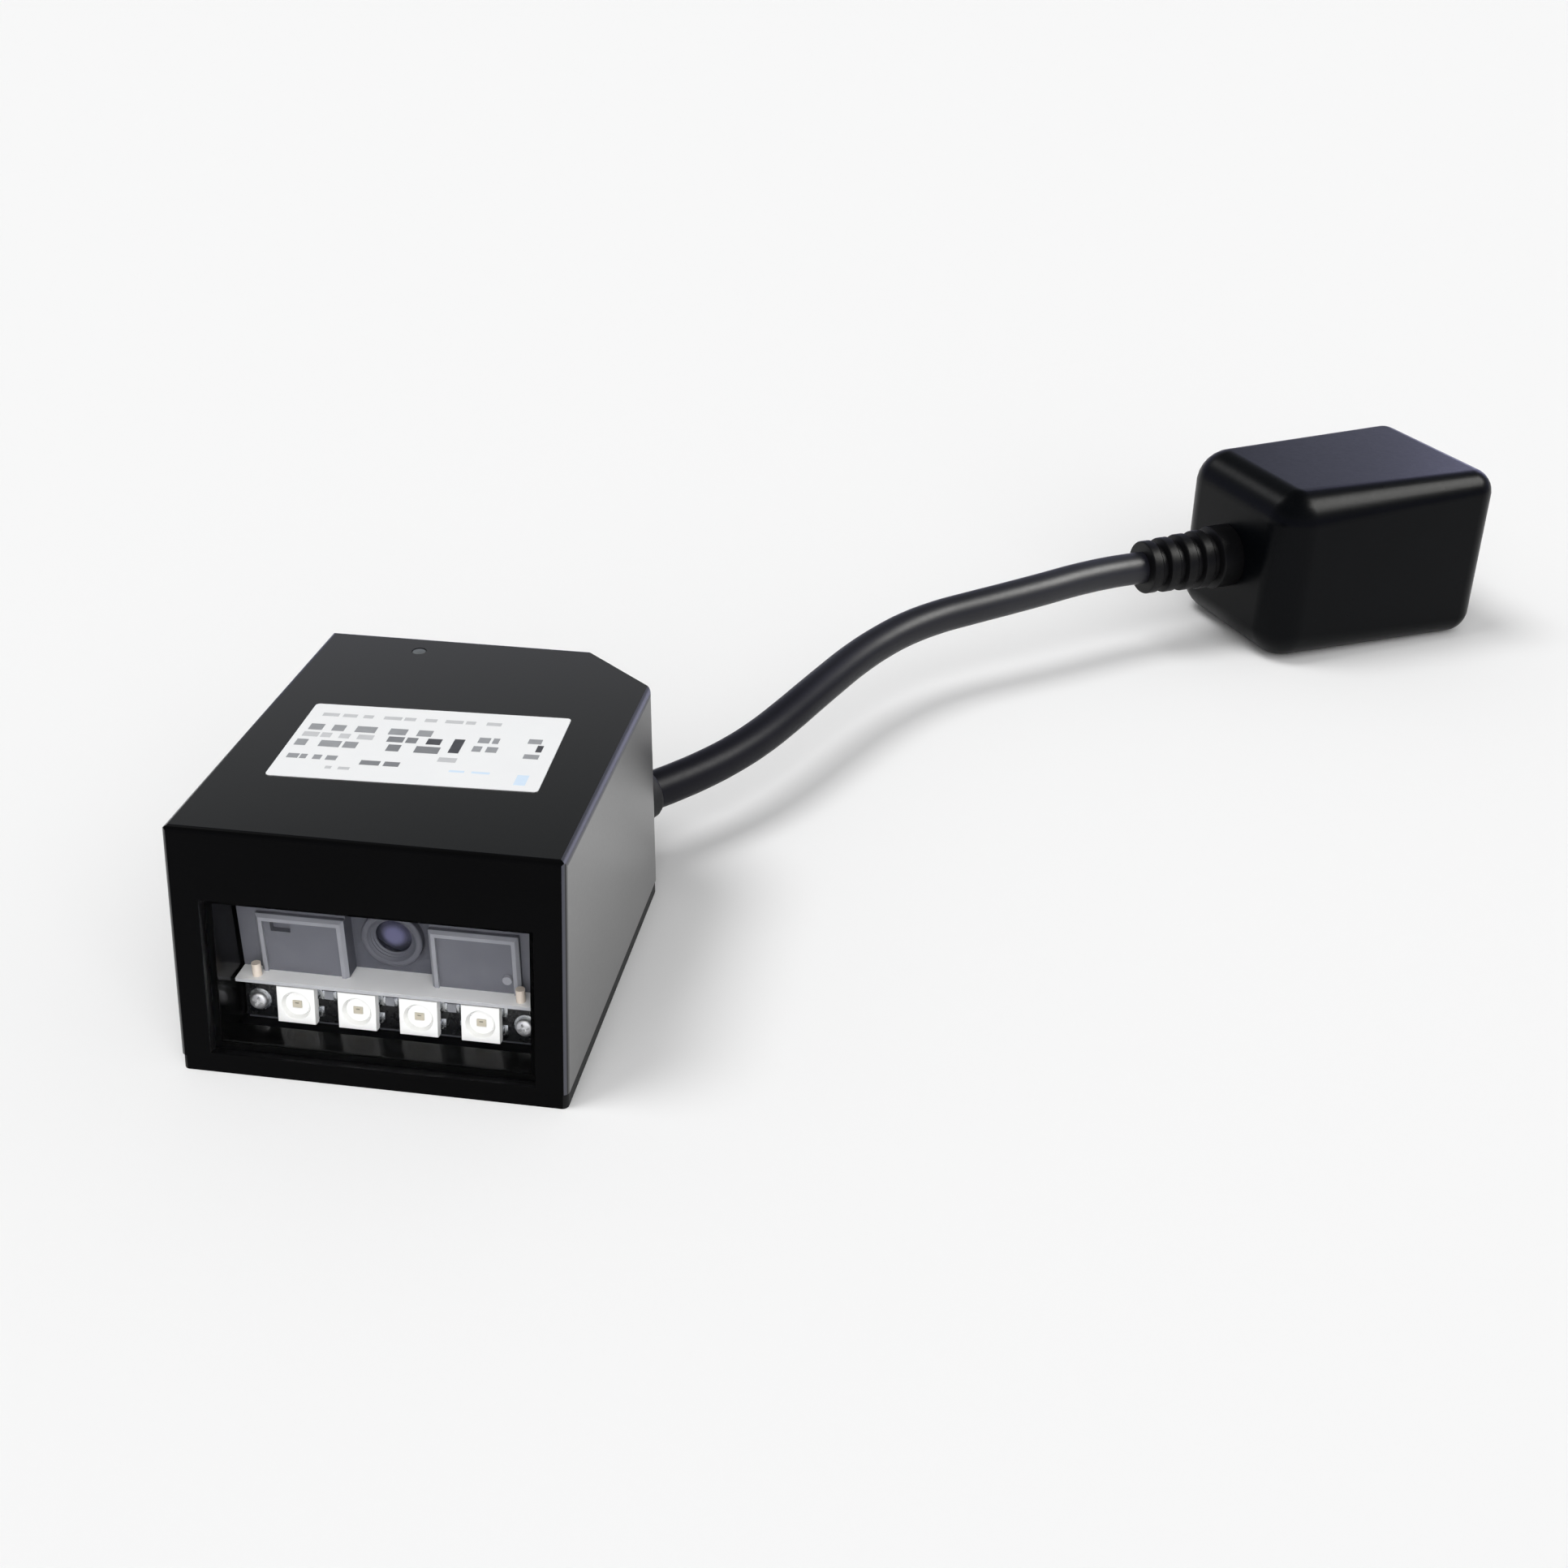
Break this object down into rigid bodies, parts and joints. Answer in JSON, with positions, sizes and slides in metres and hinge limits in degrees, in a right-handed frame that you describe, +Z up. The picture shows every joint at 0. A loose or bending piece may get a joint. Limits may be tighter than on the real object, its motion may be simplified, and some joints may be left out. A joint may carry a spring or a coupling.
{
  "type": "fixed barcode reader",
  "caption": "Small black box reader with a leaning window, a lamp row and lens inside, and a short cable from its cut rear corner to a rounded connector hood.",
  "frame": {"origin": "middle of the reader's footprint, on the surface that it stands on, without the cable", "axes": "+Z up, +Y from the window to the back, +X to the right as seen from the front"},
  "size_m": [0.1817, 0.1929, 0.0326],
  "materials": {
    "housing_abs": "moulded, fine satin texture",
    "base_abs": "moulded, satin",
    "screw_steel": "zinc plated",
    "insert_brass": "turned",
    "pane_acrylic": "clear, polished",
    "seal_foam": "matte",
    "chassis_plastic": "moulded, grey",
    "barrel_black": "turned, black",
    "coated_glass": "coated, purple glint",
    "board_laminate": "solder mask, green",
    "lamp_board": "solder mask, black",
    "chip_epoxy": "moulded epoxy",
    "lamp_white": "white package",
    "chip_ceramic": "grey",
    "light_pipe": "clear",
    "nylon": "natural",
    "flex_film": "polyimide",
    "wire_pvc": "insulated wire",
    "grommet_rubber": "moulded",
    "label_film": "white film, no words",
    "cable_pvc": "extruded jacket",
    "relief_pvc": "moulded",
    "hood_pvc": "moulded, satin",
    "socket_tin": "tin plated",
    "insulator_pbt": "moulded",
    "contact_gold": "gold plated"
  },
  "bodies": {
    "root": {"housing": "housing_abs", "base_plate": "base_abs", "cover_screws": "screw_steel", "mount_inserts": "insert_brass", "window_pane": "pane_acrylic", "window_seal": "seal_foam", "engine_chassis": "chassis_plastic", "lens_barrel": "barrel_black", "lens_glass": "coated_glass", "sensor_board": "board_laminate", "line_sensor": "chip_epoxy", "sensor_screws": "screw_steel", "engine_screws": "screw_steel", "led_board": "lamp_board", "led_lamps": "lamp_white", "led_resistors": "chip_ceramic", "led_board_screws": "screw_steel", "decoder_board": "board_laminate", "decoder_chip": "chip_epoxy", "memory_chip": "chip_epoxy", "board_screws": "screw_steel", "beeper": "chip_epoxy", "status_led": "lamp_white", "status_light_pipe": "light_pipe", "flex_sockets": "nylon", "flex_cable": "flex_film", "cable_header": "nylon", "header_plug": "nylon", "cable_wires": "wire_pvc", "cable_grommet": "grommet_rubber", "type_label": "label_film", "cable": "cable_pvc", "strain_relief": "relief_pvc", "connector_hood": "hood_pvc", "socket_shell": "socket_tin", "socket_insulator": "insulator_pbt", "socket_contacts": "contact_gold", "jack_nuts": "socket_tin"}
  },
  "joints": []
}
